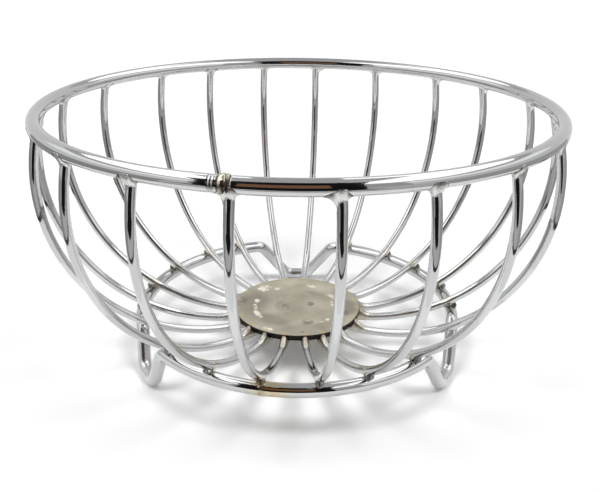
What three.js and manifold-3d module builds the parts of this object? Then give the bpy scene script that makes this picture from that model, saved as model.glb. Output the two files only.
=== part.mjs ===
// Wire fruit basket: bent ribs welded to a rim ring above, and to a footed base ring and a disc below.
// Millimetres. The basket stands on z = 0 about the z axis, and its front is towards -Y.
import * as THREE from "three";
import { mergeVertices } from "three/addons/utils/BufferGeometryUtils.js";
import Module from "manifold-3d";

const wasm = await Module();
wasm.setup();

// Rim ring
const RIM_RADIUS = 117; // axis to wire centre
const RIM_HEIGHT = 126; // table to wire centre
const RIM_WIRE = 6.3; // wire diameter

// Ribs
const RIB_COUNT = 20;
const RIB_WIRE = 3.9; // wire diameter
const RIB_BEND = 84; // radius of the one long bend
const RIB_CLEARANCE = 17.5; // table to wire centre at the lowest stretch
const RIB_TOP_INSET = 1; // how far inside the rim's wire centre a rib is aimed
const RIB_END_SPACE = 2; // free space between neighbouring inner ends
const RIB_PHASE = -11.5; // degrees from the front to the first rib
// The ribs were set by hand: how far each stands off even spacing, as a share of the pitch
const RIB_DRIFT = [
  0, 0, -0.1, -0.05, 0.2, 0.4, 0.3, 0.4, 0.3, 0.35,
  0.35, 0.2, 0.1, -0.05, 0.05, 0.05, 0, -0.1, 0, 0,
];

// Base ring and the feet bent from it
const BASE_RADIUS = 78.5; // axis to wire centre
const BASE_WIRE = 6.3; // wire diameter
// Each foot: degrees from the front, and width along the ring between the starts of its two shoulders
const FEET = [
  { fromFront: 62, width: 46 },
  { fromFront: 180, width: 50 },
  { fromFront: 297, width: 40 },
];
const FOOT_RUN = 5; // level run at the bottom of a foot
const FOOT_BEND = 7; // bend radius at the shoulders and at the bottom
const FOOT_REACH = 1.5; // how far a foot stands out past the ring

// Centre disc
const DISC_RADIUS = 32;
const DISC_THICKNESS = 3;
const DISC_ROUND = 0.5; // rounding of the disc's edges

// Welds
const WELD_FILLET = 3; // radius of the flare from rib to rim
const NUB_LENGTH = 6; // weld nub between a rib and the base ring, along the rib
const NUB_DEPTH = 1.3; // how far the nub reaches down beside the base ring
const NUB_BULGE = 0.5; // how far the nub stands out beside the rib
const SEAT_GAP = 0.3; // clearance that separate solids keep where they are welded

// Facets
const RIM_FACETS_PER_RIB = 4;
const RIM_SIDES = 10;
const RIB_SIDES = 8;
const BASE_SIDES = 10;
const RIB_BEND_STEPS = 13;
const ARCH_STEP = 5; // degrees of plain base ring between stations
const BEND_STEP = 15; // degrees of a foot's bend between stations
const DISC_SEGMENTS = 40;
const ROUND_STEPS = 2;
const FLARE_SHARES = [0.5, 0.2, 0]; // stations of a rim flare, as shares of the weld fillet
const NUB_SHARES = [-1, -0.5, 0, 0.5, 1]; // stations of a weld nub, as shares of its half length
const MERGE_DISTANCE = 1e-4; // points closer than this are one point

const FRONT = -90; // degrees from +X to the front
const radians = THREE.MathUtils.degToRad;

// Where a rib's bend is centred, in the rib's own plane (r from the axis, z up)
const bendZ = RIB_CLEARANCE + RIB_BEND;
const ribTopRadius = RIM_RADIUS - RIB_TOP_INSET;
const bendR = ribTopRadius - Math.sqrt(RIB_BEND ** 2 - (RIM_HEIGHT - bendZ) ** 2);
const ribInnerRadius = (RIB_COUNT * (RIB_WIRE + RIB_END_SPACE)) / (2 * Math.PI);

// The base ring hangs under the ribs, one seat gap clear of them
const baseSeatReach = RIB_BEND + (RIB_WIRE + BASE_WIRE) / 2 + SEAT_GAP;
const baseHeight = bendZ - Math.sqrt(baseSeatReach ** 2 - (BASE_RADIUS - bendR) ** 2);
const baseSeatAngle = Math.atan2(baseHeight - bendZ, BASE_RADIUS - bendR);

// The disc lies on the ribs, which may already rise where they come out from under its edge
const discRise = Math.max(DISC_RADIUS - bendR, 0);
const discUnderside = bendZ - Math.sqrt((RIB_BEND - RIB_WIRE / 2) ** 2 - discRise ** 2) + SEAT_GAP;

const CHROME = { color: 0xc6c7c7, metalness: 1, roughness: 0.08 };
const SATIN_STEEL = { color: 0xa59e8c, metalness: 0.9, roughness: 0.4 };

// A closed surface through rings of points, capped at both ends or joined end to end
function loft(rings, joined) {
  const sides = rings[0].length;
  const spans = joined ? rings.length : rings.length - 1;
  const corner = (ring, side) => (ring % rings.length) * sides + (side % sides);
  const index = [];
  for (let ring = 0; ring < spans; ring++) {
    for (let side = 0; side < sides; side++) {
      const [a, b] = [corner(ring, side), corner(ring, side + 1)];
      const [c, d] = [corner(ring + 1, side), corner(ring + 1, side + 1)];
      index.push(a, b, d, a, d, c);
    }
  }
  if (!joined) {
    const last = rings.length - 1;
    for (let side = 1; side < sides - 1; side++) {
      index.push(corner(0, 0), corner(0, side + 1), corner(0, side));
      index.push(corner(last, 0), corner(last, side), corner(last, side + 1));
    }
  }
  return new THREE.BufferGeometry().setFromPoints(rings.flat()).setIndex(index);
}

function solidOf(geometry) {
  const bare = geometry.clone();
  bare.deleteAttribute("normal");
  bare.deleteAttribute("uv");
  const merged = mergeVertices(bare, MERGE_DISTANCE);
  const vertProperties = merged.getAttribute("position").array;
  const triVerts = new Uint32Array(merged.index.array);
  return new wasm.Manifold(new wasm.Mesh({ numProp: 3, vertProperties, triVerts }));
}

function geometryOf(solid) {
  const mesh = solid.getMesh();
  const geometry = new THREE.BufferGeometry();
  geometry.setAttribute("position", new THREE.BufferAttribute(mesh.vertProperties, mesh.numProp));
  geometry.setIndex(new THREE.BufferAttribute(mesh.triVerts, 1));
  geometry.computeVertexNormals();
  return geometry;
}

// A ring of round wire about the z axis, its facets in step with the ribs
function wireRing(radius, height, thickness) {
  const segments = RIB_COUNT * RIM_FACETS_PER_RIB;
  return new THREE.TorusGeometry(radius, thickness, RIM_SIDES, segments).translate(0, 0, height);
}

// Width added to a rib by the weld under the rim, at a point that is clear of the rim's surface by `clear`
function flareAt(clear) {
  const rise = THREE.MathUtils.clamp(WELD_FILLET - clear, 0, WELD_FILLET);
  return WELD_FILLET - Math.sqrt(WELD_FILLET ** 2 - rise ** 2);
}

// Share of the weld nub's full size at an angle of the bend: 1 at the base ring, 0 past the nub's ends
function nubAt(angle) {
  const along = Math.abs(angle - baseSeatAngle) * RIB_BEND;
  return Math.max(0, 1 - (2 * along / NUB_LENGTH) ** 2);
}

// One rib in the XZ plane: a level run under the disc, the long bend, and the flare into the rim
function ribSolid(onBaseRing) {
  const topAngle = Math.asin((RIM_HEIGHT - bendZ) / RIB_BEND);
  const startAngle = -Math.acos(THREE.MathUtils.clamp((ribInnerRadius - bendR) / RIB_BEND, 0, 1));
  const clearOf = (angle) => (topAngle - angle) * RIB_BEND - RIM_WIRE / 2;
  const flareStart = topAngle - (RIM_WIRE / 2 + WELD_FILLET) / RIB_BEND;

  const angles = [];
  for (let step = 0; step <= RIB_BEND_STEPS; step++) {
    angles.push(THREE.MathUtils.lerp(startAngle, flareStart, step / RIB_BEND_STEPS));
  }
  for (const share of FLARE_SHARES) {
    angles.push(topAngle - (RIM_WIRE / 2 + share * WELD_FILLET) / RIB_BEND);
  }
  angles.push(topAngle);
  if (onBaseRing) {
    for (const share of NUB_SHARES) {
      angles.push(baseSeatAngle + (share * NUB_LENGTH) / 2 / RIB_BEND);
    }
  }
  angles.sort((a, b) => a - b);

  const section = (centre, inward, flare, nub) => {
    const points = [];
    for (let side = 0; side < RIB_SIDES; side++) {
      const turn = ((side + 0.5) / RIB_SIDES) * 2 * Math.PI;
      const across = (RIB_WIRE / 2 + flare + nub * NUB_BULGE) * Math.sin(turn);
      const outward = Math.cos(turn) > 0 ? nub * NUB_DEPTH : 0;
      const depth = (RIB_WIRE / 2 + outward) * Math.cos(turn);
      points.push(centre.clone().addScaledVector(inward, -depth).add(new THREE.Vector3(0, across, 0)));
    }
    return points;
  };
  const rings = [];
  if (ribInnerRadius < bendR) {
    const innerEnd = new THREE.Vector3(ribInnerRadius, 0, RIB_CLEARANCE);
    rings.push(section(innerEnd, new THREE.Vector3(0, 0, 1), 0, 0));
  }
  for (const angle of angles) {
    const out = new THREE.Vector3(Math.cos(angle), 0, Math.sin(angle));
    const centre = new THREE.Vector3(bendR, 0, bendZ).addScaledVector(out, RIB_BEND);
    const nub = onBaseRing ? nubAt(angle) : 0;
    rings.push(section(centre, out.negate(), flareAt(clearOf(angle)), nub));
  }
  const rimSeat = solidOf(wireRing(RIM_RADIUS, RIM_HEIGHT, RIM_WIRE / 2 + SEAT_GAP));
  const rib = solidOf(loft(rings, false)).subtract(rimSeat);
  if (!onBaseRing) {
    return geometryOf(rib);
  }
  const baseSeat = solidOf(wireRing(BASE_RADIUS, baseHeight, BASE_WIRE / 2 + SEAT_GAP));
  return geometryOf(rib.subtract(baseSeat));
}

// Half a foot seen square on, from the start of its shoulder to the end of its bottom bend:
// how far along the ring and how far down each station lies, and how steeply the wire goes down there
function footProfile(width, drop) {
  const span = (width - FOOT_RUN) / 2;
  const bend = Math.min(FOOT_BEND, span / 2);
  const fall = drop - 2 * bend;
  const legAngle = Math.atan2(fall, span) + Math.asin((2 * bend) / Math.hypot(span, fall));
  const steps = Math.ceil(THREE.MathUtils.radToDeg(legAngle) / BEND_STEP);
  const shoulder = [];
  const bottom = [];
  for (let step = 0; step <= steps; step++) {
    const slope = (legAngle * step) / steps;
    const along = bend * Math.sin(slope);
    const down = bend * (1 - Math.cos(slope));
    shoulder.push({ along, down, slope });
    bottom.unshift({ along: span - along, down: drop - down, slope });
  }
  return [...shoulder, ...bottom];
}

// The base wire: plain ring between the feet, and each foot a rounded V that also leans outwards
function baseRingGeometry() {
  const wire = BASE_WIRE / 2;
  // Wire centre to the flat that stands on the table
  const flatBelow = wire * Math.cos(Math.PI / BASE_SIDES);
  const drop = baseHeight - flatBelow;

  const stations = [];
  FEET.forEach(({ fromFront, width }, foot) => {
    const half = footProfile(width, drop);
    const shoulder = radians(fromFront) - width / 2 / BASE_RADIUS;
    for (const { along, down, slope } of half) {
      stations.push({ angle: shoulder + along / BASE_RADIUS, down, slope });
    }
    for (const { along, down, slope } of [...half].reverse()) {
      stations.push({ angle: shoulder + (width - along) / BASE_RADIUS, down, slope: -slope });
    }
    const next = FEET[(foot + 1) % FEET.length];
    const archStart = shoulder + width / BASE_RADIUS;
    const turnToNext = THREE.MathUtils.euclideanModulo(next.fromFront - fromFront, 360);
    const archAngle = radians(turnToNext) - (width + next.width) / 2 / BASE_RADIUS;
    const archSteps = Math.ceil(archAngle / radians(ARCH_STEP));
    for (let step = 1; step < archSteps; step++) {
      stations.push({ angle: archStart + (archAngle * step) / archSteps, down: 0, slope: 0 });
    }
  });
  const rings = stations.map(({ angle, down, slope }) => {
    const turn = angle + radians(FRONT);
    const outward = new THREE.Vector3(Math.cos(turn), Math.sin(turn), 0);
    const onward = new THREE.Vector3(-Math.sin(turn), Math.cos(turn), 0);
    const footward = outward.clone().multiplyScalar(FOOT_REACH / drop).setZ(-1);
    const centre = outward.clone().multiplyScalar(BASE_RADIUS).setZ(baseHeight);
    centre.addScaledVector(footward, down);
    const tangent = onward.multiplyScalar(Math.cos(slope));
    tangent.addScaledVector(footward, Math.sin(slope)).normalize();
    outward.addScaledVector(tangent, -outward.dot(tangent)).normalize();
    const upward = new THREE.Vector3().crossVectors(outward, tangent);
    const ring = [];
    for (let side = 0; side < BASE_SIDES; side++) {
      const around = ((side + 0.5) / BASE_SIDES) * 2 * Math.PI;
      const spoke = outward.clone().multiplyScalar(wire * Math.sin(around));
      ring.push(spoke.addScaledVector(upward, wire * Math.cos(around)).add(centre));
    }
    return ring;
  });
  return loft(rings, true);
}

// A round plate with rounded edges
function discGeometry() {
  const profile = [new THREE.Vector2(0, 0)];
  const edges = [
    { height: DISC_ROUND, from: -90 },
    { height: DISC_THICKNESS - DISC_ROUND, from: 0 },
  ];
  for (const { height, from } of edges) {
    for (let step = 0; step <= ROUND_STEPS; step++) {
      const turn = radians(from + (90 * step) / ROUND_STEPS);
      const radius = DISC_RADIUS - DISC_ROUND + DISC_ROUND * Math.cos(turn);
      profile.push(new THREE.Vector2(radius, height + DISC_ROUND * Math.sin(turn)));
    }
  }
  profile.push(new THREE.Vector2(0, DISC_THICKNESS));
  return new THREE.LatheGeometry(profile, DISC_SEGMENTS).rotateX(Math.PI / 2).translate(0, 0, discUnderside);
}

// True where the base wire is level under a rib, and not bent down into a foot
function restsOnBaseRing(fromFront) {
  return FEET.every((foot) => {
    const apart = THREE.MathUtils.euclideanModulo(fromFront - foot.fromFront + 180, 360) - 180;
    return Math.abs(radians(apart)) * BASE_RADIUS > foot.width / 2;
  });
}

function piece(name, geometry, finish) {
  const mesh = new THREE.Mesh(geometry, new THREE.MeshStandardMaterial(finish));
  mesh.name = name;
  return mesh;
}

const basket = new THREE.Group();

const rim = piece("rim_ring", wireRing(RIM_RADIUS, RIM_HEIGHT, RIM_WIRE / 2), CHROME);
rim.rotation.z = radians(FRONT + RIB_PHASE);
basket.add(rim);

basket.add(piece("base_ring", baseRingGeometry(), CHROME));
basket.add(piece("base_disc", discGeometry(), SATIN_STEEL));

const weldedRib = ribSolid(true);
const clearRib = ribSolid(false);
for (let count = 0; count < RIB_COUNT; count++) {
  const fromFront = RIB_PHASE + ((count + RIB_DRIFT[count % RIB_DRIFT.length]) * 360) / RIB_COUNT;
  const shape = restsOnBaseRing(fromFront) ? weldedRib : clearRib;
  const rib = piece(`rib_${String(count + 1).padStart(2, "0")}`, shape, CHROME);
  rib.rotation.z = radians(FRONT + fromFront);
  basket.add(rib);
}

export default basket;
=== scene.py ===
"""Wire fruit basket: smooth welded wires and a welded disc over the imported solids, in a white studio.

Lengths of the basket are millimetres until a mesh is made, and those of the studio are metres.
Angles are degrees from the front (-Y), positive towards +X.
"""
import math

import bpy
import numpy as np
from mathutils import Matrix, Vector


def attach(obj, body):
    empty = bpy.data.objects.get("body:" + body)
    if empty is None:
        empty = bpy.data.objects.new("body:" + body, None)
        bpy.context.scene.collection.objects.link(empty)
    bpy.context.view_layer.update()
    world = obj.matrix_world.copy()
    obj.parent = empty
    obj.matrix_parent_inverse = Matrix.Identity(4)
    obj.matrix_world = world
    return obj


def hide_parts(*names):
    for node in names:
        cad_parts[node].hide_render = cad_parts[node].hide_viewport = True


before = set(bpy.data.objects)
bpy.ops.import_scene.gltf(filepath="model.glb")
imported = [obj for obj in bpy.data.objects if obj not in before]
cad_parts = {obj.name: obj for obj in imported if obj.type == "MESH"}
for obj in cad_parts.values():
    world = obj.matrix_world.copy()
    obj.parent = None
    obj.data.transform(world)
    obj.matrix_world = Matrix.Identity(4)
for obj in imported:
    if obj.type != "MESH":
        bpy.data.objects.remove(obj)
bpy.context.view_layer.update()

MM = 0.001

# Rim ring
RIM_RADIUS = 117.0
RIM_HEIGHT = 126.0
RIM_WIRE = 6.3

# Ribs; the drift is how far each stands off even spacing, as a share of the pitch
RIB_COUNT = 20
RIB_WIRE = 3.9
RIB_BEND = 84.0
RIB_CLEARANCE = 17.5
RIB_TOP_INSET = 1.0
RIB_END_SPACE = 2.0
RIB_PHASE = -11.5
RIB_DRIFT = [
    0, 0, -0.1, -0.05, 0.2, 0.4, 0.3, 0.4, 0.3, 0.35,
    0.35, 0.2, 0.1, -0.05, 0.05, 0.05, 0, -0.1, 0, 0,
]
RIB_SEED = 100

# Base ring and feet: degrees from the front, and width along the ring
BASE_RADIUS = 78.5
BASE_WIRE = 6.3
FEET = [(62.0, 46.0), (180.0, 50.0), (297.0, 40.0)]
FOOT_RUN = 5.0
FOOT_BEND = 7.0
FOOT_REACH = 1.5

# Centre disc, with a shallow pressed ring at a share of its radius and a dip above each rib's weld
DISC_RADIUS = 32.0
DISC_THICKNESS = 3.0
DISC_ROUND = 0.5
DISC_HUB = 0.6
PRESSED_AT = 0.66
PRESSED_HALF = 1.6
PRESSED_DEPTH = 0.16
PRESSED_UNEVEN = (0.6, 0.4)
DIP_AT = 0.97
DIP_LENGTH = 4.6
DIP_WIDTH = 5.5
DIP_DEPTH = 0.14
DIP_TINT = 0.7
# Share of the painted edge shade that the disc's underside carries
DISC_UNDER_DARK = 0.6

SEAT_GAP = 0.3

# Butt weld of the rim: a lumpy bead with a wandering seam and an undercut on either side
RIM_WELD_AT = -12.2
BEAD_HALF = 1.85
BEAD_RISE = 0.5
BEAD_LUMPS = 0.16
SEAM_AT = 0.7
SEAM_WANDER = 0.3
SEAM_HALF = 0.28
SEAM_DEPTH = 0.3
UNDERCUT_AWAY = 0.25
UNDERCUT_HALF = 0.5
UNDERCUT_DEPTH = 0.16
BEAD_TINT = 0.45
BEAD_TINT_REACH = (3.2, 1.6)
BEAD_SATIN = 0.05
BEAD_SCALE = 0.9
# Weld scale with painted shade: the bead is darkened on its lower side and at its right end, below the top
BEAD_DARK_UNDER = (0.62, 0.1)
BEAD_DARK_LEFT = 0.55
BEAD_DARK_RIGHT = 0.5
BEAD_DARK_RISE = (-1.0, 0.2)
BEAD_DARK_END = 0.75
BEAD_DARK_END_RISE = (0.5, 1.1)
BEAD_DARK_END_TOP = (1.02, 0.7)

# Turned marks on the rim, before the weld, with a painted dark reflection along their middle band
TURNED_MARKS_AT = 4.2
TURNED_MARKS_HALF = 2.2
TURNED_MARKS_PITCH = 1.2
TURNED_MARKS_DEPTH = 0.07
TURNED_MARKS_DARK_REFLECTION = 0.45
DARK_REFLECTION_RISE = (0.2, 0.7)
DARK_REFLECTION_SIDES = (0.75, 0.3)

# Butt weld of the base ring
BASE_WELD_AT = -11.0
BASE_BEAD_HALF = 2.2
BASE_BEAD_RISE = 0.32
BASE_TINT = 0.75
BASE_TINT_SHIFT = 3
BASE_TINT_HALF = 13
BASE_BEAD_SCALE = 0.45
BASE_SCALE_HALF = 2.4
BASE_SCALE_BELOW = 0.75
BASE_BEAD_SATIN = 0.4
BASE_SATIN_HALF = 3
BASE_LUMPS = (0.7, 0.3)
FOOT_BRUSHED = 0.7
FOOT_BRUSHED_FALL = (2, 8)

# Weld cap where a rib meets the rim: its reach along the rim to either side, outward and inward
FLARE_SIDE = 3.0
FLARE_LEFT_SHARE = (0.85, 1.35)
FLARE_RIGHT_SHARE = (0.35, 0.8)
FLARE_OUTER = 2.7
FLARE_OUTER_SHARE = (0.75, 1.0)
FLARE_INNER = 0.9
FLARE_WAVES = (0.12, 0.08)
FLARE_LONGEST = 1.4
FLARE_SPACE = 0.5
CAP_WRAP = 0.97
CAP_SWELL = 0.12
CAP_CLOSE = 0.35
CAP_TINT = 0.08
CAP_CRACKS = (0.25, 0.6)
CAP_CRACK_LEVEL = 0.1
CAP_TOE_POWER = 6
CAP_SATIN = 0.75
CAP_SATIN_POWER = 0.7

# Weld between a rib and the base ring: a nub under the rib and a bead in the crook outside
NUB_LENGTH = 8.0
NUB_DEPTH = 0.9
NUB_BULGE = 0.25
NUB_AHEAD = 0.5
NUB_WAVE = 0.15
NUB_TINT = 0.3
NUB_SCALE = 0.6
NUB_SATIN = 0.3
BLOB_SIZE = np.array([1.5, 1.9, 1.7])
BLOB_SIZE_SHARE = (0.9, 1.12)
BLOB_OUT = 1.0
BLOB_UP = 3.2
BLOB_ASIDE = 0.4
BLOB_WAVES = (0.12, 0.10)
BLOB_PHASE = (0, 6)
BLOB_POLE = 0.08
BLOB_TINT = 0.1
BLOB_WARM_TINT = 0.8
BLOB_WARM_HALF = 9
BLOB_SCALE = 0.72
BLOB_SATIN = 0.5

# Weld from a rib's upper side up the disc's edge, and the skin of the ribs near it
FILLET_REACH = 6.5
FILLET_INNER = 1.2
FILLET_RISE = 3.1
FILLET_SCALE = 0.6
FILLET_POWER = 0.6
RUN_TINT = (0.1, 0.5)
RUN_TINT_FALL = (40, 33)
RUN_SCALE = 0.05
RUN_SATIN = 0.1
BRUSHED_FALL = (66, 44)

# Painted highlights, smudges and soft shades on the disc: degrees from the front, share of the radius, length
# along, width, strength
DISC_HIGHLIGHTS = [
    (-101, 0.66, 8.0, 5.0, 0.85),
    (-83, 0.68, 8.0, 4.0, 0.8),
    (-62, 0.70, 13.0, 4.6, 0.95),
    (-136, 0.80, 10.0, 9.0, 0.95),
    (-30, 0.92, 10.0, 5.0, 0.75),
    (40, 0.69, 10.0, 5.0, 0.75),
    (116, 0.65, 12.0, 4.4, 0.9),
    (92, 0.58, 10.0, 3.6, 0.7),
    (160, 0.72, 8.0, 4.0, 0.6),
    (208, 0.66, 8.0, 4.0, 0.6),
]
DISC_SMUDGES = [
    (-100, 0.88, 12.0, 9.0, 0.7),
    (-70, 0.19, 9.0, 6.0, 0.7),
    (95, 0.22, 7.0, 5.0, 0.7),
    (12, 0.62, 13.0, 7.0, 0.75),
    (5, 0.89, 2.8, 2.8, 1.0),
    (70, 0.80, 9.0, 7.0, 0.7),
]
DISC_SHADES = [
    (-95, 0.74, 44.0, 28.0, 0.62),
    (-38, 0.64, 28.0, 14.0, 0.55),
    (-80, 0.30, 16.0, 7.0, 0.35),
    (8, 0.84, 46.0, 16.0, 0.42),
    (84, 0.84, 24.0, 13.0, 0.55),
    (140, 0.50, 18.0, 8.0, 0.28),
]
# Share of a patch's reach over which it is at full strength
PATCH_FADE = 0.35

# Mesh fineness
RIM_SIDES = 40
RIM_STATIONS = 600
RIM_WELD_SPAN = (-5, 3)
RIM_WELD_STATIONS = 161
RIB_SIDES = 28
RUN_INNER_STATIONS = 6
RUN_OUTER_STATIONS = 10
RUN_INNER_END = 1.5
RIB_BEND_STATIONS = 60
BEND_START_LENGTH = 6
BEND_START_STATIONS = 7
CAP_STATIONS = 14
NUB_STATIONS = 25
BASE_SIDES = 36
ARCH_STATIONS = 110
FOOT_BEND_STATIONS = 16
FOOT_LEG_STATIONS = 6
BLOB_ROWS = 11
BLOB_SIDES = 18
DISC_SIDES = 288
DISC_ROWS = 72
DISC_EDGE_ROWS = 15

# Chrome: colours, roughness from smooth to hazy, and what each skin adds to it
CHROME_COLOUR = (0.565, 0.57, 0.57)
SATIN_COLOUR = (0.80, 0.80, 0.785)
TEMPER_COLOUR = (0.56, 0.45, 0.21)
# Dark colour for weld scale, also used for painted shade on the rim bead and a painted dark reflection on the
# turned marks
SCALE_AND_SHADE_COLOUR = (0.045, 0.034, 0.026)
CHROME_ROUGHNESS = (0.03, 0.10)
SCALE_AND_SHADE_ROUGHER = 0.14
SATIN_ROUGHER = 0.22
BRUSHED_ROUGHER = 0.2
PATCH_RANGE = (0.3, 0.65)
TEMPER_PATCHED = (0.6, 1.2)
SCALE_AND_SHADE_PATCHED = (0.65, 1.25)

# Disc steel: colours, with painted highlights and painted edge shade, roughness, and how hard the flecks
# break up painted highlights and smudges
DISC_DARK = (0.36, 0.33, 0.255)
DISC_LIGHT = (0.52, 0.48, 0.39)
DISC_CLOUD_RANGE = (0.34, 0.64)
SHADE_COLOUR = (0.20, 0.185, 0.145)
SMUDGE_COLOUR = (0.20, 0.185, 0.15)
# Colour of the painted highlights on the disc's top
HIGHLIGHT_COLOUR = (0.80, 0.77, 0.69)
DIP_COLOUR = (0.50, 0.39, 0.21)
# Painted shade for the disc's rounded edge and underside, standing for the dark gap and shadow under the disc
EDGE_SHADE_COLOUR = (0.008, 0.007, 0.006)
DISC_ROUGHNESS = (0.36, 0.54)
EDGE_SMOOTHER = -0.22
DISC_METALLIC = 0.85
FLECK_GAIN = 1.6
FLECK_RANGE = (0.35, 0.65)
FLECK_SHIFT = (-1.25, 0.1)

# Camera, as fitted to the photograph: focal length in pixels of that frame width, place in mm, angles
FRAME_WIDTH = 600
FOCAL_PIXELS = 756.17
SENSOR_WIDTH = 36
CAMERA_PLACE = (-2.97, -347.14, 203.95)
CAMERA_YAW = 0.669
CAMERA_PITCH = 23.135
CAMERA_ROLL = 0.655
CLIP_NEAR = 0.01
CLIP_FAR = 100

# Studio light: the floor's own glow to the camera, the even fill, and a soft light above on either side
FLOOR_SIZE = 30.0
FLOOR_COLOUR = (0.93, 0.93, 0.93)
FLOOR_ROUGHNESS = 0.9
FLOOR_GLOSS = 0.1
FLOOR_GLOW = 0.11
FILL_LEVEL = 0.22
LAMP_LEFT = (-0.42, -0.26, 1.0)
LAMP_RIGHT = (0.42, -0.26, 1.0)
LAMP_ANGLE = 24
LAMP_STRENGTH = 1.4
WHITE = (1.0, 1.0, 1.0)

# Studio boards round the basket, seen by the metal alone: name, lower and upper circle as (radius, height),
# first and last angle, colour, steps
GLARE = (1.22, 1.22, 1.22)
LIT_WALL = (1.2, 1.2, 1.2)
TABLE_EDGE = (0.278, 0.002)
TABLE_RIM = (2.6, 0.01)
WALL_FOOT = (2.5, 0.0)
WALL_MIDDLE = (2.5, 0.9)
WALL_TOP = (2.5, 1.6)
CEILING_MIDDLE = (0.001, 2.2)
BOARD_STEPS = 48
ROOM_BANDS = [
    ("turntable_glare", (0.128, 0.001), (0.172, 0.001), 0, 360, GLARE, 96),
    ("turntable_edge", (0.258, 0.002), TABLE_EDGE, 0, 360, (0.03, 0.03, 0.03), 120),
    ("table_front", TABLE_EDGE, TABLE_RIM, -48, 48, (0.60, 0.60, 0.60), BOARD_STEPS),
    ("table_left", TABLE_EDGE, TABLE_RIM, -130, -48, (0.36, 0.36, 0.36), BOARD_STEPS),
    ("table_right", TABLE_EDGE, TABLE_RIM, 48, 130, (0.44, 0.44, 0.44), BOARD_STEPS),
    ("table_back", TABLE_EDGE, TABLE_RIM, 130, 230, (0.80, 0.80, 0.80), BOARD_STEPS),
    ("wall_front", WALL_FOOT, WALL_TOP, -42, 42, (0.46, 0.46, 0.455), BOARD_STEPS),
    ("wall_left", WALL_FOOT, WALL_MIDDLE, -125, -42, (0.82, 0.82, 0.82), BOARD_STEPS),
    ("wall_right", WALL_FOOT, WALL_MIDDLE, 42, 125, (0.74, 0.74, 0.74), BOARD_STEPS),
    ("wall_left_upper", WALL_MIDDLE, WALL_TOP, -125, -42, LIT_WALL, BOARD_STEPS),
    ("wall_right_upper", WALL_MIDDLE, WALL_TOP, 42, 125, LIT_WALL, BOARD_STEPS),
    ("wall_back", WALL_FOOT, WALL_TOP, 125, 235, (0.78, 0.78, 0.78), BOARD_STEPS),
    ("ceiling", WALL_TOP, CEILING_MIDDLE, 0, 360, (0.52, 0.52, 0.52), BOARD_STEPS),
]

# Level window boards overhead: name, two corners as (x, y), height
WINDOW_COLOUR = (1.9, 1.9, 1.9)
WINDOWS = [
    ("window_left", (-1.9, -1.6), (-0.58, 1.3), 1.7),
    ("window_right", (0.62, -1.6), (1.9, 1.3), 1.7),
    ("window_back_left", (-1.6, 0.8), (-0.22, 1.9), 1.69),
    ("window_back_right", (0.22, 0.8), (1.6, 1.9), 1.69),
]

# Boards in front: name, outline as (y, z), middle, half width, colour
FRONT_BOARDS = [
    (
        "black_board",
        [(-0.365, 0.004), (-0.50, 0.010), (-0.51, 0.30), (-0.44, 0.50), (-0.28, 0.62)],
        -0.085, 0.29, (0.010, 0.010, 0.010),
    ),
    (
        "brown_board",
        [(-0.488, 0.168), (-0.488, 0.30), (-0.455, 0.42)],
        -0.05, 0.14, (0.23, 0.12, 0.072),
    ),
]


def circle(sides):
    return np.linspace(0, 2 * math.pi, sides, endpoint=False)


def smoothstep(low, high, value):
    share = np.clip((np.asarray(value, float) - low) / (high - low), 0, 1)
    return share * share * (3 - 2 * share)


def bump(offset, half):
    """1 at offset 0, falling smoothly to 0 at half on either side."""
    return smoothstep(half, 0, np.abs(offset))


def between(degrees, other):
    """The turn from one angle to another, -180 to 180 degrees."""
    return (degrees - other + 180) % 360 - 180


def rib_angle(index):
    return RIB_PHASE + (index + RIB_DRIFT[index]) * 360 / RIB_COUNT


def turned(points, degrees):
    """Points given as (radial, tangential, z), turned to their place round the axis."""
    a = math.radians(degrees)
    out = np.array([math.sin(a), -math.cos(a), 0])
    along = np.array([math.cos(a), math.sin(a), 0])
    up = np.array([0, 0, 1.0])
    return points[..., 0:1] * out + points[..., 1:2] * along + points[..., 2:3] * up


# Places that follow from the sizes above
rim_half = RIM_WIRE / 2
rib_half = RIB_WIRE / 2
base_half = BASE_WIRE / 2
bend_z = RIB_CLEARANCE + RIB_BEND
rib_top_radius = RIM_RADIUS - RIB_TOP_INSET
bend_r = rib_top_radius - math.sqrt(RIB_BEND ** 2 - (RIM_HEIGHT - bend_z) ** 2)
rib_inner_radius = RIB_COUNT * (RIB_WIRE + RIB_END_SPACE) / (2 * math.pi)
top_angle = math.asin((RIM_HEIGHT - bend_z) / RIB_BEND)
base_reach = RIB_BEND + (RIB_WIRE + BASE_WIRE) / 2 + SEAT_GAP
base_height = bend_z - math.sqrt(base_reach ** 2 - (BASE_RADIUS - bend_r) ** 2)
base_seat_angle = math.atan2(base_height - bend_z, BASE_RADIUS - bend_r)
disc_rise = max(DISC_RADIUS - bend_r, 0)
disc_underside = bend_z - math.sqrt((RIB_BEND - rib_half) ** 2 - disc_rise ** 2) + SEAT_GAP

# Directions round a rib: across it, out of the bowl (or down), and the shares that face under and over it
rib_phi = circle(RIB_SIDES)
rib_side = np.cos(rib_phi)
rib_front = np.sin(rib_phi)
rib_lower = np.clip(rib_front, 0, 1)
rib_upper = np.clip(-rib_front, 0, 1) ** FILLET_POWER


class Skin:
    """Rings of points, with the values that the material reads at each point."""

    def __init__(self, *keys):
        self.rings = []
        self.values = {key: [] for key in keys}

    def add(self, ring, **values):
        self.rings.append(ring)
        for key, kept in self.values.items():
            kept.append(np.broadcast_to(values.get(key, 0.0), len(ring)))


def chrome_skin():
    return Skin("temper", "crust", "satin", "brushed")


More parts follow.
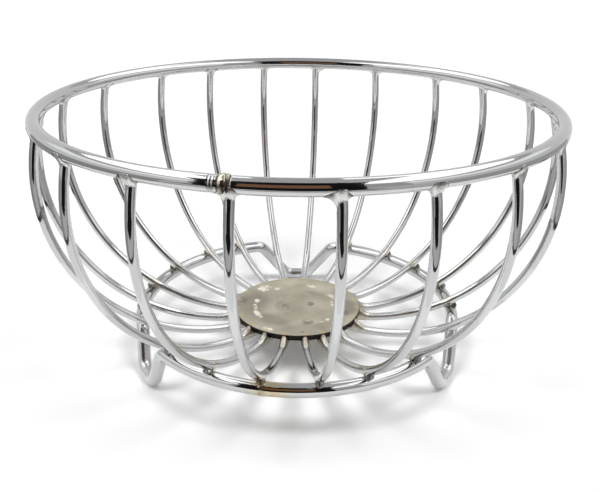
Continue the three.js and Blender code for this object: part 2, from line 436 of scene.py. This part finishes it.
def ring_faces(count, sides, closed, start=0):
    """Quads between neighbouring rings of points, and a cap at each open end."""
    faces = []
    for ring in range(count if closed else count - 1):
        here = start + ring * sides
        there = start + (ring + 1) % count * sides
        for side in range(sides):
            after = (side + 1) % sides
            faces.append((here + side, there + side, there + after, here + after))
    if not closed:
        last = start + (count - 1) * sides
        faces.append(tuple(start + side for side in range(sides)))
        faces.append(tuple(last + side for side in reversed(range(sides))))
    return faces


def make_piece(name, skin, faces, node, material):
    """A smooth mesh that stands for a CAD node and carries per-point values for its material."""
    mesh = bpy.data.meshes.new(name)
    mesh.from_pydata((np.concatenate(skin.rings) * MM).tolist(), [], faces)
    for key, kept in skin.values.items():
        layer = mesh.attributes.new(key, "FLOAT", "POINT")
        layer.data.foreach_set("value", np.concatenate(kept).astype(np.float32))
    mesh.validate()
    mesh.polygons.foreach_set("use_smooth", [len(face) == 4 for face in faces])
    mesh.materials.append(material)
    piece = bpy.data.objects.new(name, mesh)
    bpy.context.scene.collection.objects.link(piece)
    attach(piece, "root")
    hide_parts(node)


def new_material(name):
    material = bpy.data.materials.new(name)
    material.use_nodes = True
    return material, material.node_tree, material.node_tree.nodes["Principled BSDF"]


def feed(tree, socket, value):
    """Gives a socket another node's output, a colour or a number."""
    if isinstance(value, bpy.types.NodeSocket):
        tree.links.new(value, socket)
    elif isinstance(value, tuple):
        socket.default_value = (*value, 1)
    else:
        socket.default_value = value


def point_value(tree, name):
    node = tree.nodes.new("ShaderNodeAttribute")
    node.attribute_name = name
    return node.outputs["Fac"]


def noise(tree, scale, detail, roughness=0.5):
    """Noise over the piece's own coordinates."""
    place = tree.nodes.new("ShaderNodeTexCoord")
    node = tree.nodes.new("ShaderNodeTexNoise")
    feed(tree, node.inputs["Scale"], scale)
    feed(tree, node.inputs["Detail"], detail)
    feed(tree, node.inputs["Roughness"], roughness)
    feed(tree, node.inputs["Vector"], place.outputs["Object"])
    return node.outputs["Fac"]


def ranged(tree, value, target, source=(0.0, 1.0)):
    """A value spread from its source range over a target range, and held there."""
    node = tree.nodes.new("ShaderNodeMapRange")
    feed(tree, node.inputs["From Min"], source[0])
    feed(tree, node.inputs["From Max"], source[1])
    feed(tree, node.inputs["To Min"], target[0])
    feed(tree, node.inputs["To Max"], target[1])
    feed(tree, node.inputs["Value"], value)
    return node.outputs["Result"]


def computed(tree, operation, *values, clamp=False):
    node = tree.nodes.new("ShaderNodeMath")
    node.operation = operation
    node.use_clamp = clamp
    for socket, value in zip(node.inputs, values):
        feed(tree, socket, value)
    return node.outputs["Value"]


def blended(tree, under, factor, over):
    """One colour over another, by a factor."""
    node = tree.nodes.new("ShaderNodeMix")
    node.data_type = "RGBA"
    feed(tree, node.inputs["Factor"], factor)
    feed(tree, node.inputs["A"], under)
    feed(tree, node.inputs["B"], over)
    return node.outputs["Result"]


def relief(tree, height, strength, distance):
    node = tree.nodes.new("ShaderNodeBump")
    feed(tree, node.inputs["Height"], height)
    feed(tree, node.inputs["Strength"], strength)
    feed(tree, node.inputs["Distance"], distance)
    return node


def chrome_material():
    """Bright plate with a faint ripple, and tint, weld scale with painted shade and a painted dark
    reflection, or duller skin where the points carry them.
    """
    material, tree, shader = new_material("chrome_plate")
    patches = noise(tree, scale=420, detail=5)

    def patched(name, target):
        """A point value broken up by the patches."""
        share = ranged(tree, patches, target, PATCH_RANGE)
        return computed(tree, "MULTIPLY", point_value(tree, name), share, clamp=True)

    temper = patched("temper", TEMPER_PATCHED)
    crust = patched("crust", SCALE_AND_SHADE_PATCHED)
    satin = point_value(tree, "satin")
    brushed = point_value(tree, "brushed")

    colour = blended(tree, CHROME_COLOUR, satin, SATIN_COLOUR)
    colour = blended(tree, colour, temper, TEMPER_COLOUR)
    # Weld scale, with painted shade on the rim bead's lower side and a painted dark reflection on the turned
    # marks
    colour = blended(tree, colour, crust, SCALE_AND_SHADE_COLOUR)
    feed(tree, shader.inputs["Base Color"], colour)

    rough = ranged(tree, noise(tree, scale=60, detail=4), CHROME_ROUGHNESS)
    rough = computed(tree, "MULTIPLY_ADD", crust, SCALE_AND_SHADE_ROUGHER, rough)
    rough = computed(tree, "MULTIPLY_ADD", satin, SATIN_ROUGHER, rough)
    rough = computed(tree, "MULTIPLY_ADD", brushed, BRUSHED_ROUGHER, rough)
    feed(tree, shader.inputs["Roughness"], rough)

    ripple = relief(tree, noise(tree, scale=160, detail=3), strength=0.06, distance=0.0006)
    lumpy = computed(tree, "MAXIMUM", crust, satin)
    lumps = relief(tree, patches, lumpy, distance=0.0005)
    feed(tree, lumps.inputs["Normal"], ripple.outputs["Normal"])
    feed(tree, shader.inputs["Normal"], lumps.outputs["Normal"])
    shader.inputs["Metallic"].default_value = 1
    return material


def disc_material():
    """Satin warm-grey steel with cloudy stains, dark smudges, painted highlights, and painted shade on its
    polished edge and underside.
    """
    material, tree, shader = new_material("disc_satin_steel")
    clouds = noise(tree, scale=60, detail=6, roughness=0.6)
    flecks = noise(tree, scale=380, detail=5)

    def broken(name):
        """A point value with its edges broken up by the flecks."""
        shift = ranged(tree, flecks, FLECK_SHIFT, FLECK_RANGE)
        return computed(tree, "MULTIPLY_ADD", point_value(tree, name), FLECK_GAIN, shift, clamp=True)

    ramp = tree.nodes.new("ShaderNodeValToRGB")
    for stop, position, colour in zip(ramp.color_ramp.elements, DISC_CLOUD_RANGE, (DISC_DARK, DISC_LIGHT)):
        stop.position = position
        stop.color = (*colour, 1)
    feed(tree, ramp.inputs["Fac"], clouds)
    edge = point_value(tree, "edge")
    colour = blended(tree, ramp.outputs["Color"], point_value(tree, "shade"), SHADE_COLOUR)
    colour = blended(tree, colour, broken("smudge"), SMUDGE_COLOUR)
    # Painted highlights on the disc's top
    colour = blended(tree, colour, broken("mark"), HIGHLIGHT_COLOUR)
    colour = blended(tree, colour, point_value(tree, "tinted"), DIP_COLOUR)
    # Painted shade on the disc's edge and underside
    colour = blended(tree, colour, edge, EDGE_SHADE_COLOUR)
    feed(tree, shader.inputs["Base Color"], colour)

    rough = ranged(tree, clouds, DISC_ROUGHNESS)
    rough = computed(tree, "MULTIPLY_ADD", edge, EDGE_SMOOTHER, rough)
    feed(tree, shader.inputs["Roughness"], rough)

    grain = relief(tree, noise(tree, scale=900, detail=3), strength=0.12, distance=0.0003)
    feed(tree, shader.inputs["Normal"], grain.outputs["Normal"])
    shader.inputs["Metallic"].default_value = DISC_METALLIC
    return material


CHROME = chrome_material()
DISC_STEEL = disc_material()


def make_rim():
    """The rim hoop, with the lumpy bead of its butt weld and the turned marks beside it."""
    turns = np.linspace(0, 360, RIM_STATIONS, endpoint=False)
    near = RIM_WELD_AT + np.linspace(*RIM_WELD_SPAN, RIM_WELD_STATIONS)
    turns = np.unique(np.round(np.concatenate([turns, near % 360]), 4))
    around = circle(RIM_SIDES)
    out, up = np.cos(around), np.sin(around)
    seam = SEAM_AT + SEAM_WANDER * np.sin(2 * around + 0.9)
    skin = chrome_skin()
    for turn in turns:
        along = math.radians(between(turn, RIM_WELD_AT)) * RIM_RADIUS
        body = math.sqrt(max(0, 1 - (along / BEAD_HALF) ** 2))
        on_bead = float(body > 0)
        groove = np.exp(-((along - seam) / SEAM_HALF) ** 2) * on_bead
        lumps = 1 + BEAD_LUMPS * np.sin(4 * around + 0.6 * along + 0.9)
        bead = BEAD_RISE * body * lumps - SEAM_DEPTH * groove
        undercut = float(bump(abs(along) - BEAD_HALF - UNDERCUT_AWAY, UNDERCUT_HALF))
        marks = float(bump(along + TURNED_MARKS_AT, TURNED_MARKS_HALF))
        ridges = math.sin(2 * math.pi * along / TURNED_MARKS_PITCH) - 1
        wire = rim_half + bead + TURNED_MARKS_DEPTH * marks * ridges - UNDERCUT_DEPTH * undercut
        points = np.stack([RIM_RADIUS + wire * out, np.zeros(RIM_SIDES), RIM_HEIGHT + wire * up], axis=-1)

        # Weld scale and painted shade, darkening the bead's lower side and its right end
        underneath = smoothstep(*BEAD_DARK_UNDER, up) * on_bead
        bead_scale_and_shade = underneath * (BEAD_DARK_LEFT + BEAD_DARK_RIGHT * smoothstep(*BEAD_DARK_RISE, along))
        at_end = smoothstep(*BEAD_DARK_END_RISE, along) * on_bead
        bead_scale_and_shade += BEAD_DARK_END * at_end * smoothstep(*BEAD_DARK_END_TOP, up)
        # Painted dark reflection along the middle band of the turned marks
        painted_reflection = TURNED_MARKS_DARK_REFLECTION * smoothstep(*DARK_REFLECTION_RISE, marks) * smoothstep(*DARK_REFLECTION_SIDES, np.abs(up))
        skin.add(
            turned(points, turn),
            temper=BEAD_TINT * smoothstep(*BEAD_TINT_REACH, abs(along)),
            crust=np.clip(BEAD_SCALE * (groove + undercut) + painted_reflection + bead_scale_and_shade, 0, 1),
            satin=BEAD_SATIN * on_bead,
        )
    faces = ring_faces(len(turns), RIM_SIDES, True)
    make_piece("rim_hoop", skin, faces, "rim_ring", CHROME)


def on_arc(rise):
    """Centre and outward direction of a rib's long bend, at a length above (or below) the rim's level."""
    angle = top_angle + rise / RIB_BEND
    out = np.stack([np.cos(angle), np.zeros_like(angle), np.sin(angle)], axis=-1)
    centre = np.array([bend_r, 0, bend_z])
    return centre + RIB_BEND * out, out


def rests_on_base(degrees):
    """Whether a rib crosses an arch of the base ring, and not the gap above a foot."""
    for at, width in FEET:
        if abs(math.radians(between(degrees, at))) * BASE_RADIUS <= width / 2:
            return False
    return True


def fillet_share(radius):
    """How full the weld up the disc's edge is: 1 at the edge, falling off along the rib."""
    if radius >= DISC_RADIUS:
        return max(0.0, 1 - (radius - DISC_RADIUS) / FILLET_REACH) ** 2
    return max(0.0, 1 - (DISC_RADIUS - radius) / FILLET_INNER)


def add_run(skin, heat):
    """The level run of a rib under the disc, out to where the bend starts."""
    inner = np.linspace(rib_inner_radius, DISC_RADIUS - RUN_INNER_END, RUN_INNER_STATIONS)
    outer = np.linspace(DISC_RADIUS - FILLET_INNER, bend_r, RUN_OUTER_STATIONS)
    for radius in np.concatenate([inner, outer])[:-1]:
        share = fillet_share(radius)
        depth = rib_half * rib_front - rib_upper * FILLET_RISE * share
        ring = [np.full(RIB_SIDES, radius), rib_half * rib_side, RIB_CLEARANCE - depth]
        scale = RUN_SCALE + FILLET_SCALE * rib_upper * math.sqrt(share)
        skin.add(np.stack(ring, axis=-1), temper=heat, crust=scale, satin=RUN_SATIN, brushed=1.0)


def add_bend(skin, heat, phase, welded):
    """The long bend of a rib, with the weld nub where it crosses the base ring."""
    flare_start = -(rim_half + FLARE_LONGEST * FLARE_SIDE + FLARE_SPACE)
    arc_length = RIB_BEND * (math.pi / 2 + top_angle)
    seat = RIB_BEND * (base_seat_angle - top_angle)
    stretches = [
        np.linspace(-arc_length, flare_start, RIB_BEND_STATIONS),
        np.linspace(0, BEND_START_LENGTH, BEND_START_STATIONS) - arc_length,
    ]
    if welded:
        stretches.append(seat + np.linspace(-NUB_LENGTH, NUB_LENGTH, NUB_STATIONS) / 2)
    for rise in np.unique(np.concatenate(stretches)):
        centre, out = on_arc(np.full(RIB_SIDES, rise))
        radius = bend_r + RIB_BEND * math.cos(top_angle + rise / RIB_BEND)
        share = fillet_share(radius)
        nub = float(bump(rise - seat - NUB_AHEAD, NUB_LENGTH / 2)) if welded else 0.0
        uneven = 1 + NUB_WAVE * np.sin(3 * rib_phi + phase)
        depth = rib_front * rib_half + rib_lower * nub * NUB_DEPTH * uneven - rib_upper * FILLET_RISE * share
        width = rib_side * (rib_half + nub * NUB_BULGE)
        skin.add(
            centre + out * depth[:, None] + np.outer(width, [0, 1.0, 0]),
            temper=heat * smoothstep(*RUN_TINT_FALL, radius) + NUB_TINT * nub,
            crust=NUB_SCALE * nub * rib_lower + FILLET_SCALE * rib_upper * math.sqrt(share),
            satin=NUB_SATIN * nub,
            brushed=smoothstep(*BRUSHED_FALL, radius),
        )


def add_cap(skin, left, right, outer, wobble):
    """The weld cap that flares from a rib's upper end on to the rim, and its closing inside the rim."""
    rim_out = RIB_TOP_INSET * math.cos(top_angle)
    rim_up = -RIB_TOP_INSET * math.sin(top_angle)
    sideways = np.where(rib_side > 0, right, left)
    endways = np.where(rib_front > 0, outer, FLARE_INNER)
    reach = rib_side ** 2 * sideways + rib_front ** 2 * endways
    broad = FLARE_WAVES[0] * np.sin(2 * rib_phi + wobble[1])
    fine = FLARE_WAVES[1] * np.sin(5 * rib_phi + wobble[2])
    reach = reach * (1 + broad + fine)
    cracked = np.sin(3 * rib_phi + wobble[2]) > CAP_CRACK_LEVEL
    for psi in np.radians(np.linspace(0, 90, CAP_STATIONS)):
        swing = math.sin(psi)
        spread = rib_half + reach * (1 - math.cos(psi))
        out_from_rim = np.clip(spread * rib_front - rim_out, -CAP_WRAP * rim_half, CAP_WRAP * rim_half)
        rise = rim_up - np.sqrt(rim_half ** 2 - out_from_rim ** 2) - reach * (1 - swing)
        centre, out = on_arc(rise)
        shift = out_from_rim + rim_out + CAP_SWELL * swing ** 2 * rib_front
        skin.add(
            centre + out * shift[:, None] + np.outer(spread * rib_side, [0, 1.0, 0]),
            temper=CAP_TINT * swing,
            crust=swing ** CAP_TOE_POWER * (CAP_CRACKS[0] + CAP_CRACKS[1] * cracked),
            satin=CAP_SATIN * swing ** CAP_SATIN_POWER,
        )
    last = skin.rings[-1]
    centre, _ = on_arc(np.zeros(1))
    closing = last + CAP_CLOSE * (centre + np.array([rim_out, 0, 0]) - last)
    skin.add(closing, **{key: kept[-1] for key, kept in skin.values.items()})


def weld_blob(rng):
    """A lumpy bead in the crook between a rib and the base ring, on the outer side, before turning."""
    polar = np.linspace(BLOB_POLE, math.pi - BLOB_POLE, BLOB_ROWS)[:, None]
    around = circle(BLOB_SIDES)[None, :]
    lumps = 1 + BLOB_WAVES[0] * np.sin(3 * around + rng.uniform(*BLOB_PHASE)) * np.sin(polar)
    lumps = lumps + BLOB_WAVES[1] * np.sin(5 * polar + around)
    size = BLOB_SIZE * rng.uniform(*BLOB_SIZE_SHARE, 3)
    aside = rng.uniform(-BLOB_ASIDE, BLOB_ASIDE)
    seat = np.array([BASE_RADIUS + BLOB_OUT, aside, base_height + BLOB_UP])
    points = np.stack([
        size[0] * lumps * np.sin(polar) * np.cos(around),
        size[1] * lumps * np.sin(polar) * np.sin(around),
        size[2] * lumps * np.cos(polar) + np.zeros_like(around),
    ], axis=-1)
    return (seat + points).reshape(-1, 3)


def make_rib(index):
    """One rib: level run under the disc, long bend, weld on the base ring, weld cap on the rim."""
    degrees = rib_angle(index)
    rng = np.random.default_rng(RIB_SEED + index)
    left = FLARE_SIDE * rng.uniform(*FLARE_LEFT_SHARE)
    right = FLARE_SIDE * rng.uniform(*FLARE_RIGHT_SHARE)
    outer = FLARE_OUTER * rng.uniform(*FLARE_OUTER_SHARE)
    wobble = rng.uniform(0, 2 * math.pi, 3)
    heat = rng.uniform(*RUN_TINT)
    welded = rests_on_base(degrees)

    skin = chrome_skin()
    add_run(skin, heat)
    add_bend(skin, heat, wobble[0], welded)
    add_cap(skin, left, right, outer, wobble)
    count = len(skin.rings)
    faces = ring_faces(count, RIB_SIDES, False)
    if welded:
        warm = BLOB_WARM_TINT * float(bump(between(degrees, BASE_WELD_AT), BLOB_WARM_HALF))
        skin.add(weld_blob(rng), temper=max(warm, BLOB_TINT), crust=BLOB_SCALE, satin=BLOB_SATIN)
        faces += ring_faces(BLOB_ROWS, BLOB_SIDES, False, start=count * RIB_SIDES)
    skin.rings = [turned(ring, degrees) for ring in skin.rings]
    node = f"rib_{index + 1:02d}"
    make_piece(f"{node}_wire", skin, faces, node, CHROME)


def foot_profile(width, drop):
    """Half a foot: place along the ring, depth and slope, from the start of a shoulder to the bottom run."""
    span = (width - FOOT_RUN) / 2
    bend = min(FOOT_BEND, span / 2)
    fall = drop - 2 * bend
    leg = math.atan2(fall, span) + math.asin(2 * bend / math.hypot(span, fall))
    slopes = np.linspace(0, leg, FOOT_BEND_STATIONS)
    shoulder = [(bend * math.sin(s), bend * (1 - math.cos(s)), s) for s in slopes]
    bottom = [(span - along, drop - down, s) for along, down, s in reversed(shoulder)]
    first, last = shoulder[-1], bottom[0]
    straight = []
    for share in np.linspace(0, 1, FOOT_LEG_STATIONS)[1:-1]:
        along = first[0] + (last[0] - first[0]) * share
        down = first[1] + (last[1] - first[1]) * share
        straight.append((along, down, leg))
    return shoulder + straight + bottom


def base_stations(drop):
    """Angle, depth and slope of the base wire, once round the ring and through its feet."""
    stations = []
    for number, (at, width) in enumerate(FEET):
        half = foot_profile(width, drop)
        start = math.radians(at) - width / 2 / BASE_RADIUS
        for along, down, slope in half:
            stations.append((start + along / BASE_RADIUS, down, slope))
        for along, down, slope in reversed(half):
            stations.append((start + (width - along) / BASE_RADIUS, down, -slope))
        next_at, next_width = FEET[(number + 1) % len(FEET)]
        arch = math.radians((next_at - at) % 360) - (width + next_width) / 2 / BASE_RADIUS
        begin = start + width / BASE_RADIUS
        for share in np.linspace(0, 1, ARCH_STATIONS)[1:-1]:
            stations.append((begin + arch * share, 0.0, 0.0))
    return stations


def make_base_ring():
    """The base hoop with its feet, and a tinted butt weld at the front."""
    drop = base_height - base_half
    stations = base_stations(drop)
    around = circle(BASE_SIDES)
    lumps = BASE_LUMPS[0] + BASE_LUMPS[1] * np.sin(3 * around + 0.4)
    skin = chrome_skin()
    for angle, down, slope in stations:
        outward = np.array([math.sin(angle), -math.cos(angle), 0])
        onward = np.array([math.cos(angle), math.sin(angle), 0])
        footward = outward * FOOT_REACH / drop + np.array([0, 0, -1.0])
        centre = outward * BASE_RADIUS + np.array([0, 0, base_height]) + footward * down
        tangent = onward * math.cos(slope) + footward * math.sin(slope)
        tangent /= np.linalg.norm(tangent)
        across = outward - tangent * (outward @ tangent)
        across /= np.linalg.norm(across)
        upward = np.cross(across, tangent)
        along = math.radians(between(math.degrees(angle), BASE_WELD_AT)) * BASE_RADIUS
        thickness = base_half + BASE_BEAD_RISE * bump(along, BASE_BEAD_HALF) * lumps
        spokes = np.outer(thickness * np.sin(around), across) + np.outer(thickness * np.cos(around), upward)
        skin.add(
            centre + spokes,
            temper=BASE_TINT * bump(along - BASE_TINT_SHIFT, BASE_TINT_HALF),
            crust=BASE_BEAD_SCALE * bump(along, BASE_SCALE_HALF) * (lumps < BASE_SCALE_BELOW),
            satin=BASE_BEAD_SATIN * bump(along, BASE_SATIN_HALF),
            brushed=FOOT_BRUSHED * smoothstep(*FOOT_BRUSHED_FALL, down),
        )
    faces = [tuple(reversed(face)) for face in ring_faces(len(stations), BASE_SIDES, True)]
    make_piece("base_hoop", skin, faces, "base_ring", CHROME)


def disc_rows():
    """Radius, height and painted shade of the disc's circles: over the top, round the edge and back
    underneath.
    """
    flat = DISC_RADIUS - DISC_ROUND
    rows = [(radius, DISC_THICKNESS, 0.0) for radius in np.linspace(DISC_HUB, flat, DISC_ROWS)]
    for turn in np.radians(np.linspace(90, -90, DISC_EDGE_ROWS))[1:-1]:
        middle = DISC_THICKNESS - DISC_ROUND if turn > 0 else DISC_ROUND
        radius = flat + DISC_ROUND * math.cos(turn)
        rows.append((radius, middle + DISC_ROUND * math.sin(turn), math.cos(turn)))
    rows += [(radius, 0.0, DISC_UNDER_DARK) for radius in (flat, DISC_RADIUS / 2, DISC_HUB)]
    return rows


def make_disc():
    """The centre plate: a pressed ring, painted highlights, smudges, and dips where ribs are welded below."""
    turns = circle(DISC_SIDES)

    def patch(radius, at, share, length, width):
        """1 at a patch's middle, falling to 0 at its ends along the circle and across it."""
        apart = (turns - math.radians(at) + math.pi) % (2 * math.pi) - math.pi
        along = apart * share * DISC_RADIUS
        away = np.hypot(along / (length / 2), (radius - share * DISC_RADIUS) / (width / 2))
        return smoothstep(1, PATCH_FADE, away)

    def strongest(radius, patches):
        found = np.zeros(DISC_SIDES)
        for at, share, length, width, strength in patches:
            found = np.maximum(found, strength * patch(radius, at, share, length, width))
        return found

    dips = [(rib_angle(index), DIP_AT, DIP_LENGTH, DIP_WIDTH) for index in range(RIB_COUNT)]
    uneven = PRESSED_UNEVEN[0] + PRESSED_UNEVEN[1] * np.sin(3 * turns + 0.5)
    skin = Skin("mark", "smudge", "shade", "tinted", "edge")
    rows = disc_rows()
    for radius, height, darkness in rows:
        z = np.full(DISC_SIDES, disc_underside + height)
        near_ribs = np.array([patch(radius, *dip) for dip in dips])
        values = {"tinted": DIP_TINT * near_ribs.max(axis=0), "edge": darkness}
        if height == DISC_THICKNESS:
            z -= PRESSED_DEPTH * bump(radius - PRESSED_AT * DISC_RADIUS, PRESSED_HALF) * uneven
            z -= DIP_DEPTH * near_ribs.sum(axis=0)
            # Painted highlights, mostly round the pressed ring
            values["mark"] = strongest(radius, DISC_HIGHLIGHTS)
            values["smudge"] = strongest(radius, DISC_SMUDGES)
            values["shade"] = strongest(radius, DISC_SHADES)
        ring = np.stack([radius * np.sin(turns), -radius * np.cos(turns), z], axis=-1)
        skin.add(ring, **values)
    faces = ring_faces(len(rows), DISC_SIDES, False)
    make_piece("centre_plate", skin, faces, "base_disc", DISC_STEEL)


def make_camera():
    data = bpy.data.cameras.new("camera")
    data.sensor_fit = "HORIZONTAL"
    data.sensor_width = SENSOR_WIDTH
    data.lens = FOCAL_PIXELS / FRAME_WIDTH * SENSOR_WIDTH
    data.clip_start = CLIP_NEAR
    data.clip_end = CLIP_FAR
    yaw, pitch, roll = (math.radians(a) for a in (CAMERA_YAW, CAMERA_PITCH, CAMERA_ROLL))
    forward = Vector((math.sin(yaw) * math.cos(pitch), math.cos(yaw) * math.cos(pitch), -math.sin(pitch)))
    level = Vector((math.cos(yaw), -math.sin(yaw), 0))
    upright = level.cross(forward)
    right = math.cos(roll) * level + math.sin(roll) * upright
    above = -math.sin(roll) * level + math.cos(roll) * upright
    place = Matrix.Translation(Vector(CAMERA_PLACE) * MM)
    camera = bpy.data.objects.new("camera", data)
    camera.matrix_world = place @ Matrix((right, above, -forward)).transposed().to_4x4()
    bpy.context.scene.collection.objects.link(camera)
    bpy.context.scene.camera = camera


def seen_directly(tree):
    """1 for the rays that should meet a white background: from the camera, off metal and through glass."""
    path = tree.nodes.new("ShaderNodeLightPath")
    either = computed(tree, "MAXIMUM", path.outputs["Is Camera Ray"], path.outputs["Is Glossy Ray"])
    return computed(tree, "MAXIMUM", either, path.outputs["Is Transmission Ray"])


def make_floor():
    """A wide white floor that keeps the basket's shadow."""
    mesh = bpy.data.meshes.new("floor")
    size = FLOOR_SIZE
    corners = [(-size, -size, 0), (size, -size, 0), (size, size, 0), (-size, size, 0)]
    mesh.from_pydata(corners, [], [(0, 1, 2, 3)])
    floor = bpy.data.objects.new("floor", mesh)
    bpy.context.scene.collection.objects.link(floor)
    material, tree, shader = new_material("floor_white")
    feed(tree, shader.inputs["Base Color"], FLOOR_COLOUR)
    feed(tree, shader.inputs["Roughness"], FLOOR_ROUGHNESS)
    feed(tree, shader.inputs["Specular IOR Level"], FLOOR_GLOSS)
    feed(tree, shader.inputs["Emission Color"], WHITE)
    glow = computed(tree, "MULTIPLY", seen_directly(tree), FLOOR_GLOW)
    feed(tree, shader.inputs["Emission Strength"], glow)
    mesh.materials.append(material)


def make_world():
    """White to the camera and in the chrome, and an even dim fill on everything else."""
    world = bpy.data.worlds.new("studio")
    bpy.context.scene.world = world
    world.use_nodes = True
    tree = world.node_tree
    background = tree.nodes["Background"]
    feed(tree, background.inputs["Color"], WHITE)
    feed(tree, background.inputs["Strength"], ranged(tree, seen_directly(tree), (FILL_LEVEL, 1.0)))


def make_reflector(name, points, faces, colour):
    """A studio board that only the chrome sees."""
    mesh = bpy.data.meshes.new(name)
    mesh.from_pydata(points, [], faces)
    material = bpy.data.materials.new(name)
    material.use_nodes = True
    tree = material.node_tree
    tree.nodes.clear()
    light = tree.nodes.new("ShaderNodeEmission")
    output = tree.nodes.new("ShaderNodeOutputMaterial")
    feed(tree, light.inputs["Color"], colour)
    feed(tree, output.inputs["Surface"], light.outputs["Emission"])
    mesh.materials.append(material)
    board = bpy.data.objects.new(name, mesh)
    bpy.context.scene.collection.objects.link(board)
    board.visible_camera = False
    board.visible_diffuse = False
    board.visible_shadow = False
    board.visible_transmission = False


def make_band(name, lower, upper, first, last, colour, steps):
    """A board round the axis between two circles, each a (radius, height), from one angle to another."""
    points = []
    for step in range(steps + 1):
        a = math.radians(first + (last - first) * step / steps)
        for radius, height in (lower, upper):
            points.append((radius * math.sin(a), -radius * math.cos(a), height))
    faces = [(2 * k, 2 * k + 2, 2 * k + 3, 2 * k + 1) for k in range(steps)]
    make_reflector(name, points, faces, colour)


def make_window(name, low, high, height):
    """A bright level board between two corners (x, y)."""
    corners = [(low[0], low[1]), (high[0], low[1]), (high[0], high[1]), (low[0], high[1])]
    points = [(x, y, height) for x, y in corners]
    make_reflector(name, points, [(0, 1, 2, 3)], WINDOW_COLOUR)


def make_front_board(name, outline, middle, half_width, colour):
    """A board of constant width in front of the basket, along an outline of (y, z)."""
    points = []
    for y, z in outline:
        points += [(middle - half_width, y, z), (middle + half_width, y, z)]
    faces = [(2 * k, 2 * k + 1, 2 * k + 3, 2 * k + 2) for k in range(len(outline) - 1)]
    make_reflector(name, points, faces, colour)


def make_room():
    """What the chrome shows: a turntable with a dark edge, a table, a room, windows and dark boards."""
    for entry in ROOM_BANDS:
        make_band(*entry)
    for entry in WINDOWS:
        make_window(*entry)
    for entry in FRONT_BOARDS:
        make_front_board(*entry)


def make_lamp(name, towards):
    data = bpy.data.lights.new(name, "SUN")
    data.angle = math.radians(LAMP_ANGLE)
    data.energy = LAMP_STRENGTH
    lamp = bpy.data.objects.new(name, data)
    lamp.rotation_euler = Vector(towards).to_track_quat("Z", "Y").to_euler()
    bpy.context.scene.collection.objects.link(lamp)


make_rim()
for index in range(RIB_COUNT):
    make_rib(index)
make_base_ring()
make_disc()

make_camera()
make_floor()
make_world()
make_room()
make_lamp("softbox_left", LAMP_LEFT)
make_lamp("softbox_right", LAMP_RIGHT)

bpy.context.scene.view_settings.view_transform = "Standard"
